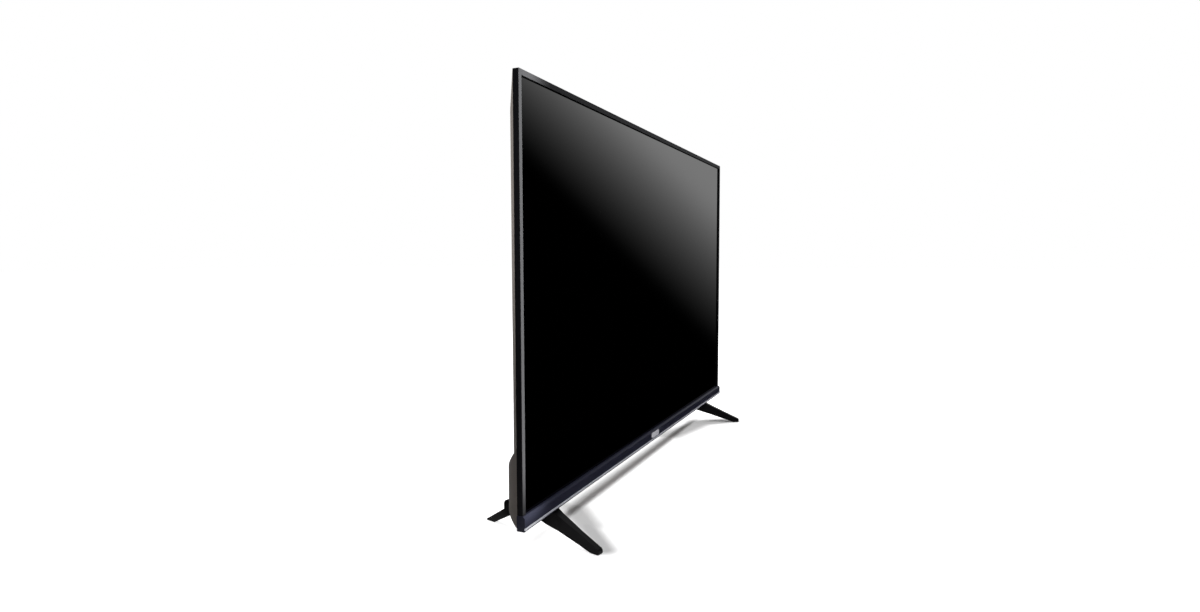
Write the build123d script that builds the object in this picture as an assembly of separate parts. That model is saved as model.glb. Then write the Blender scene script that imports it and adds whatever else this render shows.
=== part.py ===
from build123d import *
from math import atan2, cos, degrees, hypot, radians, sin, tan
import os

# A flat screen television of the 50 inch class, standing on two inverted-V legs.
# Lengths are in millimetres. X runs to the right as seen from the front, Y runs
# from the front to the back and Z is up from the floor. Inside this file Y is
# zero at the front face of the frame, and the finished pieces are moved so that
# the middle of the footprint is the origin.

# Clearances and cuts that every piece shares
seat_gap = 0.2
slide_gap = 0.3
overrun = 3.0
small_side_count = 6
head_side_count = 10
lens_side_count = 6

# The screen and the thin frame on its left, top and right
screen_width = 1095.0
screen_height = 616.0
side_bezel = 8.5
frame_depth = 9.0
frame_wall = 2.0
frame_lip = 2.4
frame_corner_radius = 3.0
frame_edge_chamfer = 0.7

# The chin bar below the screen, its silver strip and its sensor window
ground_clearance = 56.0
chin_height = 22.5
chin_proud = 4.5
chin_ledge_depth = 3.0
chin_bevel_height = 3.0
chin_wall = 2.0
chin_toe = 1.2
chin_flange_thickness = 1.5
chin_flange_height = 6.0
chin_upstand_height = 6.5
chin_end_overhang = 1.5
strip_height = 3.0
strip_above_toe = 2.9
strip_groove = 1.0
strip_proud = 0.9
strip_edge = 0.5
window_width = 18.0
window_depth = 5.0
window_drop = 0.5
window_edge = 0.4
window_flange = 1.5
window_flange_thickness = 1.0
window_x = 0.0
sensor_board_height = 9.0
sensor_board_thickness = 1.2
sensor_width = 7.0
sensor_height = 6.0
sensor_depth = 4.0

# The glass cell, what holds it, and the sheets behind it
gasket_thickness = 0.6
gasket_width = 4.0
gasket_setback = 1.0
cell_thickness = 1.4
cell_side_gap = 1.5
cell_overlap_bottom = 5.0
panel_frame_shelf = 1.5
panel_frame_wall = 1.6
panel_frame_drop = 3.5
film_thickness = 0.3
diffuser_thickness = 1.5
stack_edge_gap = 0.3
sheet_edge_gap = 0.8

# The steel tray, the reflector, the light bars and the posts in the air space
tray_sheet = 0.8
tray_edge_step = 2.4
tray_flange = 14.0
tray_wall_run = 34.0
tray_depth = 20.6
tray_rib_height = 3.0
tray_rib_width = 16.0
tray_rib_draft = 30.0
tray_rib_end_gap = 70.0
tray_rib_heights = [320.0, 420.0, 530.0, 580.0]
reflector_thickness = 0.4
led_rows = 3
leds_per_bar = 4
led_bar_height = 14.0
led_bar_thickness = 1.2
led_bar_gap = 20.0
led_bar_end_gap = 12.0
led_lens_radius = 8.0
led_lens_height = 6.0
led_lens_draft = 28.0
reflector_hole_gap = 1.5
post_foot_radius = 6.0
post_foot_thickness = 1.2
post_stem_radius = 2.0
post_column_count = 3

# The rear cover: a slim upper part, a low wide base and a raised middle
cover_wall = 2.2
cavity_step = 0.02
cover_step = 2.5
slim_depth = 36.0
slim_side_run = 36.0
slim_side_radius = 30.0
slim_top_run = 60.0
slim_top_radius = 50.0
base_depth = 84.0
base_side_run = 106.0
base_side_bow = 6.4
base_corner_radius = 20.0
base_height = 49.0
base_top_slope = 42.0
base_edge_radius = 14.0
base_lower_edge_radius = 4.0
middle_half_width_low = 335.0
middle_half_width_high = 240.0
middle_top = 520.0
middle_draft = 45.0
middle_edge = 7.0

# Louvres and slots in the rear cover
louvre_width = 3.4
louvre_pitch = 9.0
louvre_height = 46.0
louvre_count = 24
louvre_top_gap = 26.0
louvre_tilt = 30.0
intake_height = 26.0
intake_count = 14
intake_above_bottom = 12.0
intake_from_middle = 20.0
slim_vent_count = 10
slim_vent_height = 16.0
slim_vent_below_shoulder = 22.0
slim_vent_from_middle = 250.0
speaker_slot_width = 3.0
speaker_slot_count = 7
speaker_slot_pitch = 10.0

# The circuit boards on the back of the tray
board_gap = 11.0
board_thickness = 1.6
board_bottom = 120.0
board_height = 152.0
board_hole_inset = 6.0
port_clear_width = 24.0
connector_height = 8.0
standoff_radius = 3.2
screw_head_radius = 3.0
screw_head_height = 2.0
screw_shank_radius = 1.4
screw_shank_length = 6.0
main_board_left = 64.0
timing_board_half_width = 58.0
timing_board_height = 56.0
ribbon_x = 37.0
power_board_right = -64.0
processor_shares = (0.42, 0.55)
memory_shares = (0.42, 0.18)
tuner_shares = (0.2, 0.78)
power_plug_shares = (0.8, 0.78)
fuse_shares = (0.24, 0.62)
timing_chip_shares = (0.5, 0.6)
ribbon_socket_shares = (0.5, 0.2)
power_fin_shares = [(0.3, 0.3), (0.62, 0.3)]
transformer_shares = [(0.46, 0.3), (0.46, 0.72)]
main_capacitor_shares = [(0.12, 0.86)]
small_capacitor_shares = [(0.78, 0.44), (0.78, 0.3), (0.78, 0.16)]
heatsink_base = 3.0
heatsink_fin = 1.2
heatsink_height = 16.0
heatsink_side = 42.0
heatsink_fin_count = 8
chip_height = 1.6
chip_side = 24.0
fuse_height = 9.6
power_fin_height = 24.0
power_fin_foot = 6.0
transformer_side = 26.0
transformer_height = 23.4
transformer_edge = 1.6
winding_width = 13.0
winding_length = 32.2
winding_height = 20.8
main_capacitor_radius = 9.6
main_capacitor_height = 25.6
small_capacitor_radius = 5.8
small_capacitor_height = 15.4

# The port recess and its sockets
port_wall_x = 187.0
recess_width = 72.0
recess_margin = 5.0
port_gap = 3.0
socket_shell = 0.5
socket_tongue = 1.2
window_gap = 0.4
hdmi_width = 15.2
hdmi_height = 6.0
hdmi_depth = 12.0
usb_width = 14.2
usb_height = 7.2
usb_depth = 14.0
lan_width = 16.0
lan_height = 13.4
lan_depth = 20.0
lan_wall = 1.6
antenna_width = 14.0
antenna_height = 13.0
antenna_depth = 22.0
antenna_barrel_radius = 4.7
antenna_barrel_length = 9.0
antenna_bore_radius = 1.2
jack_width = 9.0
jack_height = 7.0
jack_depth = 13.0
jack_bore_radius = 1.8
optical_width = 10.6
optical_height = 10.6
optical_depth = 14.0
optical_wall = 1.4
shutter_thickness = 0.8
shutter_set_back = 0.6
shutter_pin_radius = 0.6
shutter_pin_gap = 0.08

# The mains inlet and its recess
inlet_wall_x = -196.0
inlet_recess_width = 54.0
inlet_recess_height = 62.0
inlet_width = 24.0
inlet_height = 17.0
inlet_depth = 22.0
inlet_mouth_length = 16.8
inlet_mouth_width = 9.0
inlet_mouth_depth = 14.0
inlet_pin_radius = 1.2
inlet_pin_spacing = 8.6
inlet_pin_length = 10.5
inlet_pin_root = 4.0

# The wall bracket posts
wall_mount_spacing = 200.0
wall_mount_height = 380.0
wall_mount_post_radius = 7.6
wall_mount_hole_radius = 3.0
wall_mount_hole_depth = 18.0
wall_mount_recess = 1.0

# The keys on the back, near the right end
key_count = 6
key_pitch = 13.0
key_row_from_end = 119.0
key_row_height = 30.0
key_width = 8.4
key_height = 5.4
key_edge = 0.5
key_proud = 1.3
key_flange = 1.0
key_flange_thickness = 1.4
key_travel = 0.6
key_stem_radius = 1.6
key_stop_gap = 0.15
switch_side = 6.0
switch_height = 3.5
switch_plunger_radius = 1.7
switch_plunger_height = 0.9
key_board_thickness = 1.4
key_board_margin = 13.2
key_board_height = 18.0
key_post_radius = 3.0

# The speakers behind the lower edge
speaker_width = 170.0
speaker_height = 42.0
speaker_depth = 34.0
speaker_corner = 5.0
speaker_from_end = 301.0
speaker_back_gap = 9.8
cone_radius = 14.0
cone_depth = 7.0
cone_wall = 0.8
cone_rim = 2.5
cone_draft = 45.0

# The legs: side outline along the leg and up from the floor
leg_foot_from_end = 92.5
leg_foot_reach = 73.0
leg_foot_spread = 51.0
leg_foot_run = 212.0
leg_nose = 8.0
leg_nose_rise = 7.5
leg_nose_radius = 3.5
leg_sole = 1.0
leg_sole_radius = 1.5
leg_toe_length = 9.0
leg_shin_length = 30.0
leg_neck_start = 70.0
leg_neck_drop = 5.6
leg_heel_length = 17.0
leg_heel_end = 230.0
leg_tail = 2.0
leg_tail_rise = 1.8
leg_tail_radius = 0.6
leg_arch_s = 137.0
leg_arch_z = 42.0
leg_arch_radius = 28.0
leg_hub_gap = 0.6
leg_hub_depth = 76.0
leg_ear_length = 25.0
leg_ear_z = 46.5
leg_ear_foot_z = 30.0
leg_ear_radius = 8.0
leg_tip_width = 10.0
leg_neck_width = 14.0
leg_hub_width = 22.0
foot_pad_thickness = 2.0
foot_pad_inset = 1.2
leg_screw_spacing = 46.0
leg_screw_shank_radius = 2.0
leg_screw_head_radius = 4.2
leg_screw_head_height = 3.0
leg_screw_sink = 6.0
leg_screw_hole_gap = 0.2
leg_screw_shank_above = 5.0
bracket_thickness = 2.5
bracket_half_width = 20.0
bracket_height = 84.0
bracket_edge = 5.0

# The screws round the rear cover
cover_screw_head_radius = 3.4
cover_screw_head_height = 1.6
cover_screw_shank_radius = 1.5
cover_screw_reach = 0.6
cover_screw_edge = 66.0
cover_screw_boss_radius = 4.0
cover_screw_top_count = 5
cover_screw_side_count = 3

# Levels and edges that follow from the sizes above
half_screen = screen_width / 2
half_width = half_screen + side_bezel
chin_bottom = ground_clearance
screen_bottom = chin_bottom + chin_height
screen_top = screen_bottom + screen_height
set_top = screen_top + side_bezel
glass_front = frame_lip + gasket_thickness
glass_back = glass_front + cell_thickness
cell_half = half_width - frame_wall - cell_side_gap
cell_top = set_top - frame_wall - cell_side_gap
cell_bottom = screen_bottom - cell_overlap_bottom
panel_frame_half = half_width - frame_wall - seat_gap
panel_frame_top = set_top - frame_wall - seat_gap
panel_frame_bottom = cell_bottom - panel_frame_drop
shelf_back = glass_back + panel_frame_shelf
stack_half = panel_frame_half - panel_frame_wall - stack_edge_gap
stack_top = panel_frame_top - panel_frame_wall - stack_edge_gap
stack_bottom = panel_frame_bottom + panel_frame_wall + stack_edge_gap
diffuser_front = shelf_back + 2 * film_thickness
diffuser_back = diffuser_front + diffuser_thickness
tray_front = diffuser_back + reflector_thickness
tray_back = tray_front + tray_depth
tray_floor = tray_back - tray_sheet
led_bar_front = tray_floor - led_bar_thickness
reflector_floor = led_bar_front - reflector_thickness
mouth_half = stack_half - tray_edge_step - tray_flange
mouth_top = stack_top - tray_edge_step - tray_flange
mouth_bottom = stack_bottom + tray_edge_step + tray_flange
floor_half = mouth_half - tray_wall_run
floor_top = mouth_top - tray_wall_run
floor_bottom = mouth_bottom + tray_wall_run
cover_bottom = chin_bottom + cover_step
cover_front = frame_depth
board_front = tray_back + board_gap
board_back = board_front + board_thickness
board_top = board_bottom + board_height
rear_inside = base_depth - cover_wall
slim_inside = slim_depth - cover_wall
leg_foot_x = half_width - leg_foot_from_end
leg_heel_start = leg_heel_end - leg_heel_length
speaker_x = half_width - speaker_from_end
speaker_y = rear_inside - speaker_back_gap - speaker_depth


def middle(span):
    return sum(span) / 2


def block(x, y, z):
    """A box from pairs of coordinates along X, Y and Z."""
    size = Box(x[1] - x[0], y[1] - y[0], z[1] - z[0])
    return Pos(middle(x), middle(y), middle(z)) * size


def rounded_face(rows):
    """A flat face through corner rows of (first, second, radius)."""
    corners = [(first, second) for first, second, radius in rows]
    radii = [radius for first, second, radius in rows]
    return make_face(FilletPolyline(*corners, radius=radii, close=True))


def slab(outline, y):
    """An outline drawn in X and Z, made solid between two depths."""
    return extrude(Plane.XZ.offset(-y[0]) * outline, amount=y[0] - y[1])


def rod(x, z, y, radius):
    """A round bar along Y."""
    return slab(Pos(x, z) * Circle(radius), y)


def prism(x, z, y, radius, sides):
    """A bar along Y with few flat sides, for what is small and repeats."""
    return slab(Pos(x, z) * RegularPolygon(radius, sides), y)


def upright_prism(x, y, z, radius, sides):
    """A bar along Z with few flat sides."""
    return extrude(Pos(x, y, z[0]) * RegularPolygon(radius, sides), amount=z[1] - z[0])


def cross_prism(y, z, x, radius, sides):
    """A bar along X with few flat sides."""
    return along_x(Pos(y, z) * RegularPolygon(radius, sides), x)


def cross_rod(y, z, x, radius):
    """A round bar along X."""
    return Pos(middle(x), y, z) * Rot(0, 90, 0) * Cylinder(radius, x[1] - x[0])


def along_x(face, x):
    """A face drawn in Y and Z, made solid between two X places."""
    return extrude(Plane.YZ.offset(x[0]) * face, amount=x[1] - x[0])


def group(pieces):
    """Several separate solids that share one node."""
    return Compound([solid for piece in pieces for solid in piece.solids()])


def spread(first, last, count):
    """Evenly spaced places from the first to the last."""
    return [first + (last - first) * i / (count - 1) for i in range(count)]


def centred(count, pitch):
    """Evenly spaced places about zero."""
    return [(i - (count - 1) / 2) * pitch for i in range(count)]


def cell_middles(first, last, count):
    """The middles of equal steps between two places."""
    step = (last - first) / count
    return [middle((first + step * i, first + step * (i + 1))) for i in range(count)]


# The front

def bezel_frame():
    outline = Pos(0, middle((screen_bottom - side_bezel, set_top))) * RectangleRounded(
        2 * half_width, set_top - screen_bottom + side_bezel, frame_corner_radius)
    body = slab(outline, (0, frame_depth))
    front_edges = body.faces().sort_by(Axis.Y)[0].edges()
    body = chamfer(front_edges, frame_edge_chamfer)
    inner_half = half_width - frame_wall
    low = screen_bottom - side_bezel - overrun
    body -= block((-inner_half, inner_half), (frame_lip, frame_depth + overrun), (low, set_top - frame_wall))
    body -= block((-half_screen, half_screen), (-overrun, frame_depth), (low, screen_top))
    keep_above = block((-half_width, half_width), (-overrun, frame_depth + overrun), (screen_bottom, set_top))
    return body & keep_above


def chin_section():
    face = -chin_proud
    inner_face = face + chin_wall
    ledge_under = screen_bottom - chin_wall
    upstand = frame_depth - chin_wall
    ledge_edge = face + chin_ledge_depth
    rows = [
        (frame_lip, screen_bottom, 0),
        (ledge_edge, screen_bottom, 0),
        (face, screen_bottom - chin_bevel_height, chin_toe),
        (face, chin_bottom + chin_toe, 0),
        (face + chin_toe, chin_bottom, 0),
        (frame_depth, chin_bottom, 0),
        (frame_depth, chin_bottom + chin_upstand_height, 0),
        (upstand, chin_bottom + chin_upstand_height, 0),
        (upstand, chin_bottom + chin_wall, 0),
        (inner_face, chin_bottom + chin_wall, 0),
        (inner_face, ledge_under - chin_bevel_height, 0),
        (ledge_edge, ledge_under, 0),
        (frame_lip - chin_flange_thickness, ledge_under, 0),
        (frame_lip - chin_flange_thickness, screen_bottom - chin_flange_height, 0),
        (frame_lip, screen_bottom - chin_flange_height, 0),
    ]
    return rounded_face(rows)


def chin_end_section():
    face = -chin_proud
    rows = [
        (frame_depth, screen_bottom, 0),
        (face + chin_ledge_depth, screen_bottom, 0),
        (face, screen_bottom - chin_bevel_height, chin_toe),
        (face, chin_bottom + chin_toe, 0),
        (face + chin_toe, chin_bottom, 0),
        (frame_depth, chin_bottom, 0),
    ]
    return rounded_face(rows)


strip_bottom = chin_bottom + strip_above_toe
strip_top = strip_bottom + strip_height
chin_half = half_width + chin_end_overhang
window_y = middle((-chin_proud + chin_wall, frame_depth - chin_wall))


def chin_bar():
    wall = chin_end_overhang + frame_wall
    body = along_x(chin_section(), (-chin_half + wall, chin_half - wall))
    for end in (-1, 1):
        inner = end * (chin_half - wall)
        outer = end * chin_half
        body += along_x(chin_end_section(), (min(inner, outer), max(inner, outer)))
    groove = block((-chin_half, chin_half), (-chin_proud, -chin_proud + strip_groove),
                   (strip_bottom, strip_top))
    hole = block((window_x - window_width / 2, window_x + window_width / 2),
                 (window_y - window_depth / 2, window_y + window_depth / 2),
                 (chin_bottom - overrun, chin_bottom + chin_wall + overrun))
    return body - groove - hole


def chin_strip():
    front = -chin_proud - strip_proud
    rows = [
        (-chin_proud + strip_groove, strip_bottom, 0),
        (front, strip_bottom, strip_edge),
        (front, strip_top, strip_edge),
        (-chin_proud + strip_groove, strip_top, 0),
    ]
    return along_x(rounded_face(rows), (-chin_half, chin_half))


def sensor_window():
    half = window_width / 2 - seat_gap
    deep = window_depth / 2 - seat_gap
    inside = chin_bottom + chin_wall
    body = block((window_x - half, window_x + half), (window_y - deep, window_y + deep),
                 (chin_bottom - window_drop, inside))
    body = chamfer(body.faces().sort_by(Axis.Z)[0].edges(), window_edge)
    rim = window_flange
    flange = block((window_x - half - rim, window_x + half + rim),
                   (window_y - deep - rim / 2, window_y + deep + rim / 2),
                   (inside, inside + window_flange_thickness))
    return body + flange


def sensor_board():
    foot = chin_bottom + chin_wall + window_flange_thickness
    board = block((window_x - window_width, window_x + window_width),
                  (window_y + sensor_depth / 2, window_y + sensor_depth / 2 + sensor_board_thickness),
                  (foot, foot + sensor_board_height))
    eye = block((window_x - sensor_width / 2, window_x + sensor_width / 2),
                (window_y - sensor_depth / 2, window_y + sensor_depth / 2),
                (foot, foot + sensor_height))
    return board + eye


# The glass and the optical stack

def panel_gasket():
    out = gasket_setback + gasket_width
    ring = block((-half_screen - out, half_screen + out), (frame_lip, glass_front),
                 (screen_bottom - out, screen_top + out))
    hole = block((-half_screen - gasket_setback, half_screen + gasket_setback),
                 (frame_lip - overrun, glass_front + overrun),
                 (screen_bottom - gasket_setback, screen_top + gasket_setback))
    return ring - hole


def lcd_cell():
    return block((-cell_half, cell_half), (glass_front, glass_back), (cell_bottom, cell_top))


def panel_frame():
    outer = block((-panel_frame_half, panel_frame_half), (glass_back, frame_depth),
                  (panel_frame_bottom, panel_frame_top))
    half = panel_frame_half - panel_frame_wall
    pocket = block((-half, half), (shelf_back, frame_depth + overrun),
                   (panel_frame_bottom + panel_frame_wall, panel_frame_top - panel_frame_wall))
    sight = block((-half_screen - gasket_setback, half_screen + gasket_setback),
                  (glass_back - overrun, frame_depth),
                  (screen_bottom - gasket_setback, screen_top + gasket_setback))
    return outer - pocket - sight


def film(front, thickness):
    half = stack_half - sheet_edge_gap
    return block((-half, half), (front, front + thickness),
                 (stack_bottom + sheet_edge_gap, stack_top - sheet_edge_gap))


def pan(shift):
    """The pressed shape of the tray, moved towards the front by a shift."""
    plane = Plane(origin=(0, tray_front - shift, middle((mouth_bottom, mouth_top))),
                  x_dir=(-1, 0, 0), z_dir=(0, 1, 0))
    mouth = Rectangle(2 * mouth_half, mouth_top - mouth_bottom)
    draft = degrees(atan2(tray_wall_run, tray_depth))
    return extrude(plane * mouth, amount=tray_depth, taper=draft)


def pan_rim(front, thickness, edge):
    half = stack_half - edge
    return block((-half, half), (front, front + thickness), (stack_bottom + edge, stack_top - edge))


def led_places():
    """Where the lenses stand, as x and z, bar by bar."""
    rows = []
    for z in cell_middles(floor_bottom, floor_top, led_rows):
        for side in (-1, 1):
            places = cell_middles(side * led_bar_gap / 2, side * (floor_half - led_bar_end_gap), leds_per_bar)
            rows.append((z, side, places))
    return rows


def reflector_sheet():
    body = pan_rim(diffuser_back, reflector_thickness, tray_edge_step)
    shift = tray_sheet + led_bar_thickness
    whole = (-stack_half, stack_half)
    space = block(whole, (diffuser_back, tray_back), (stack_bottom, stack_top))
    body = (body + (pan(shift) & space)) - pan(shift + reflector_thickness)
    mouth = pan(shift) & block(whole, (diffuser_back - overrun, tray_front), (stack_bottom, stack_top))
    body -= mouth - (pan(shift) - pan(shift + reflector_thickness))
    hole = led_lens_radius + reflector_hole_gap
    cuts = [prism(x, z, (reflector_floor - overrun, led_bar_front + overrun), hole, lens_side_count)
            for z, side, places in led_places() for x in places]
    return body - cuts


def led_strips():
    bars = []
    for z, side, places in led_places():
        ends = sorted((side * led_bar_gap / 2, side * (floor_half - led_bar_end_gap)))
        bars.append(block(ends, (led_bar_front, tray_floor),
                          (z - led_bar_height / 2, z + led_bar_height / 2)))
    return group(bars)


def led_lens(x, z):
    """The wide lens over a light, broad on its bar and narrower towards the screen."""
    foot = Pos(x, z) * RegularPolygon(led_lens_radius, lens_side_count)
    return extrude(Plane.XZ.offset(-led_bar_front) * foot, amount=led_lens_height, taper=led_lens_draft)


def led_lenses():
    return group([led_lens(x, z) for z, side, places in led_places() for x in places])


def diffuser_posts():
    """Slim posts between the rows of lights, just short of the diffuser plate."""
    rows = cell_middles(floor_bottom, floor_top, led_rows)
    posts = []
    for z in [middle(pair) for pair in zip(rows, rows[1:])]:
        for x in spread(-floor_half / 2, floor_half / 2, post_column_count):
            foot = prism(x, z, (reflector_floor - post_foot_thickness, reflector_floor), post_foot_radius,
                         small_side_count)
            posts.append(foot + prism(x, z, (diffuser_back + seat_gap, reflector_floor), post_stem_radius,
                                      small_side_count))
    return group(posts)


def backlight_tray():
    body = pan_rim(tray_front, tray_sheet, tray_edge_step) + pan(0)
    ribs = []
    for z in tray_rib_heights:
        rib = Pos(0, z) * Rectangle(2 * (floor_half - tray_rib_end_gap), tray_rib_width)
        ribs.append(extrude(Plane.XZ.offset(-tray_back - tray_rib_height) * rib,
                            amount=tray_rib_height + tray_sheet / 2, taper=-tray_rib_draft))
    body += ribs
    holes = [prism(x, z, (tray_front, tray_back + overrun), cover_screw_shank_radius + leg_screw_hole_gap,
                   small_side_count)
             for x, z in cover_screw_places()]
    return body - pan(tray_sheet) - holes


# The rear cover

def slim_plan():
    ahead = cover_front - 2 * cover_wall - overrun
    rows = [(half_width, ahead, 0), (half_width, cover_front, 0),
            (half_width - slim_side_run, slim_depth, slim_side_radius),
            (-half_width + slim_side_run, slim_depth, slim_side_radius),
            (-half_width, cover_front, 0), (-half_width, ahead, 0)]
    return rounded_face(rows)


def slim_side():
    ahead = cover_front - 2 * cover_wall - overrun
    rows = [(ahead, cover_bottom, 0), (ahead, set_top, 0), (cover_front, set_top, 0),
            (slim_depth, set_top - slim_top_run, slim_top_radius),
            (slim_depth, cover_bottom, 0)]
    return rounded_face(rows)


def base_plan():
    ahead = cover_front - 2 * cover_wall - overrun
    corner = half_width - base_side_run
    rise = base_depth - cover_front
    slant = hypot(base_side_run, rise)
    bow_x = half_width - base_side_run / 2 + base_side_bow * rise / slant
    bow_y = middle((cover_front, base_depth)) + base_side_bow * base_side_run / slant
    right = ThreePointArc((half_width, cover_front), (bow_x, bow_y), (corner, base_depth))
    left = ThreePointArc((-corner, base_depth), (-bow_x, bow_y), (-half_width, cover_front))
    rear = Line((corner, base_depth), (-corner, base_depth))
    front = Polyline((-half_width, cover_front), (-half_width, ahead),
                     (half_width, ahead), (half_width, cover_front))
    face = make_face([*right.edges(), *rear.edges(), *left.edges(), *front.edges()])
    corners = [v for v in face.vertices() if abs(v.Y - base_depth) < seat_gap]
    return fillet(corners, base_corner_radius)


def base_side():
    ahead = cover_front - 2 * cover_wall - overrun
    shoulder = cover_bottom + base_height
    rise = (base_depth - ahead) * tan(radians(base_top_slope))
    rows = [(ahead, cover_bottom, 0), (base_depth, cover_bottom, base_lower_edge_radius),
            (base_depth, shoulder, base_edge_radius), (ahead, shoulder + rise, 0)]
    return rounded_face(rows)


def crossed(plan, side, inset):
    """The solid that has one outline from above and one from the side."""
    if inset:
        plan = offset(plan, -inset, kind=Kind.INTERSECTION)
        side = offset(side, -inset - cavity_step, kind=Kind.INTERSECTION)
    from_above = extrude(Pos(0, 0, 0) * plan, amount=set_top + overrun)
    from_side = along_x(side, (-half_width - overrun, half_width + overrun))
    return from_above & from_side


def middle_form(inset):
    draft = radians(middle_draft)
    shrink = inset * (1 / cos(draft) - tan(draft))
    rear = base_depth - inset
    low = cover_bottom - base_height
    rows = [(-middle_half_width_low, low, 0), (middle_half_width_low, low, 0),
            (middle_half_width_high, middle_top, 0), (-middle_half_width_high, middle_top, 0)]
    outline = rounded_face(rows)
    if shrink:
        outline = offset(outline, -shrink, kind=Kind.INTERSECTION)
    body = extrude(Plane.XZ.offset(-rear) * outline, amount=rear - cover_front, taper=-middle_draft)
    rear_edges = body.faces().sort_by(Axis.Y)[-1].edges()
    body = chamfer(rear_edges, middle_edge - inset / 2)
    above = block((-half_width, half_width), (0, base_depth + overrun), (cover_bottom + inset, set_top))
    return body & above


def cover_form(inset):
    slim = crossed(slim_plan(), slim_side(), inset)
    base = crossed(base_plan(), base_side(), inset)
    return slim + base + middle_form(inset)


recess_x = (port_wall_x, port_wall_x + recess_width)
recess_z = (board_bottom - recess_margin, board_top + recess_margin)
inlet_z = (board_bottom + recess_margin, board_bottom + recess_margin + inlet_recess_height)
inlet_x = (inlet_wall_x - inlet_recess_width, inlet_wall_x)


def grown(span, amount):
    return (span[0] - amount, span[1] + amount)


def recess_block(x, z, wall):
    """The space of a recess, or with a wall the block that its walls are cut from."""
    rear = base_depth if wall else base_depth + overrun
    return block(grown(x, wall), (slim_depth - wall, rear), grown(z, wall))


def louvres():
    """Slanted slots through the rear walls of the cover."""
    cuts = []
    through = (rear_inside - overrun, base_depth + overrun)
    top = middle_top - louvre_top_gap
    tool = Box(louvre_width, through[1] - through[0], louvre_height)
    for x in centred(louvre_count, louvre_pitch):
        cuts.append(Pos(x, middle(through), top - louvre_height / 2) * Rot(0, 0, louvre_tilt) * tool)
    low = cover_bottom + intake_above_bottom
    tool = Box(louvre_width, through[1] - through[0], intake_height)
    for x in centred(intake_count, louvre_pitch):
        cuts.append(Pos(x, middle(through), low + intake_height / 2) * Rot(0, 0, louvre_tilt) * tool)
    slim_through = (slim_inside - overrun, slim_depth + overrun)
    tool = Box(louvre_width, slim_through[1] - slim_through[0], slim_vent_height)
    high = set_top - slim_top_run - slim_vent_below_shoulder
    for side in (-1, 1):
        for x in centred(slim_vent_count, louvre_pitch):
            cuts.append(Pos(side * slim_vent_from_middle + x, middle(slim_through), high)
                        * Rot(0, 0, louvre_tilt) * tool)
    return cuts


def speaker_slots():
    cuts = []
    y = (speaker_y + speaker_corner, speaker_y + speaker_depth - speaker_corner)
    z = (cover_bottom - overrun, cover_bottom + cover_wall + overrun)
    for side in (-1, 1):
        for x in centred(speaker_slot_count, speaker_slot_pitch):
            at = side * speaker_x + x
            cuts.append(block((at - speaker_slot_width / 2, at + speaker_slot_width / 2), y, z))
    return cuts


def wall_mount_places():
    half = wall_mount_spacing / 2
    return [(x, wall_mount_height + z) for x in (-half, half) for z in (-half, half)]


def cover_screw_places():
    x_far = floor_half - cover_screw_edge / 2
    z_high = floor_top - cover_screw_edge / 2
    z_low = base_depth + cover_bottom + base_height + cover_screw_edge
    top = [(x, z_high) for x in spread(-x_far, x_far, cover_screw_top_count)]
    sides = [(side * x_far, z) for side in (-1, 1)
             for z in spread(z_low, z_high, cover_screw_side_count + 1)[:-1]]
    return top + sides


key_z = cover_bottom + key_row_height
key_row_middle = half_width - key_row_from_end - key_pitch * (key_count - 1) / 2
key_places = [key_row_middle + step for step in centred(key_count, key_pitch)]
key_flange_front = rear_inside - slide_gap - key_flange_thickness
plunger_tip = key_flange_front - key_travel - key_stop_gap
switch_base = plunger_tip - switch_plunger_height - switch_height
key_board_x = (key_places[0] - key_board_margin, key_places[-1] + key_board_margin)


def key_holes():
    cuts = []
    wide = key_width / 2 + slide_gap
    high = key_height / 2 + slide_gap
    for x in key_places:
        cuts.append(block((x - wide, x + wide), (rear_inside - overrun, base_depth + overrun),
                          (key_z - high, key_z + high)))
    return cuts


def port_windows():
    """Holes in the recess wall for the sockets."""
    cuts = []
    x = (port_wall_x - cover_wall - overrun, port_wall_x + overrun)
    for name, low, width, height in port_places():
        cuts.append(block(x, grown((board_back, board_back + height), window_gap),
                          grown((low, low + width), window_gap)))
    return cuts


def inlet_window():
    """A notch for the mains inlet, open towards the boards, so that the cover can slide over the inlet."""
    z = middle(inlet_z)
    return block((inlet_wall_x, inlet_wall_x + cover_wall + overrun),
                 (slim_inside - overrun, board_back + inlet_height + window_gap),
                 grown((z - inlet_width / 2, z + inlet_width / 2), window_gap))


def rear_cover():
    outer = cover_form(0)
    corner = Pos(0, middle((cover_bottom - frame_corner_radius - overrun, set_top))) * RectangleRounded(
        2 * half_width, set_top - cover_bottom + frame_corner_radius + overrun, frame_corner_radius)
    outer &= slab(corner, (cover_front, base_depth + overrun))
    body = outer - cover_form(cover_wall)
    body += recess_block(recess_x, recess_z, cover_wall) & outer
    body += recess_block(inlet_x, inlet_z, cover_wall) & outer
    bosses = [prism(x, z, (tray_back, slim_depth - cover_wall / 2), cover_screw_boss_radius, lens_side_count)
              for x, z in cover_screw_places()]
    bosses += [prism(x, key_z, (switch_base, rear_inside + cover_wall / 2), key_post_radius, small_side_count)
               for x in (key_board_x[0] + key_post_radius, key_board_x[1] - key_post_radius)]
    body += bosses
    cuts = [recess_block(recess_x, recess_z, 0), recess_block(inlet_x, inlet_z, 0)]
    cuts += louvres() + speaker_slots() + key_holes() + port_windows() + [inlet_window()]
    cuts += [prism(x, z, (tray_back, base_depth + overrun), wall_mount_post_radius + slide_gap,
                   small_side_count)
             for x, z in wall_mount_places()]
    cuts += [prism(x, z, (tray_back - overrun, slim_depth + overrun),
                   cover_screw_shank_radius + leg_screw_hole_gap, small_side_count)
             for x, z in cover_screw_places()]
    cuts += [leg_screw_hole(x, y, (cover_bottom - overrun, cover_bottom + cover_wall + overrun))
             for side in (-1, 1) for x, y in leg_screw_places(side)]
    return body - cuts


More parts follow.
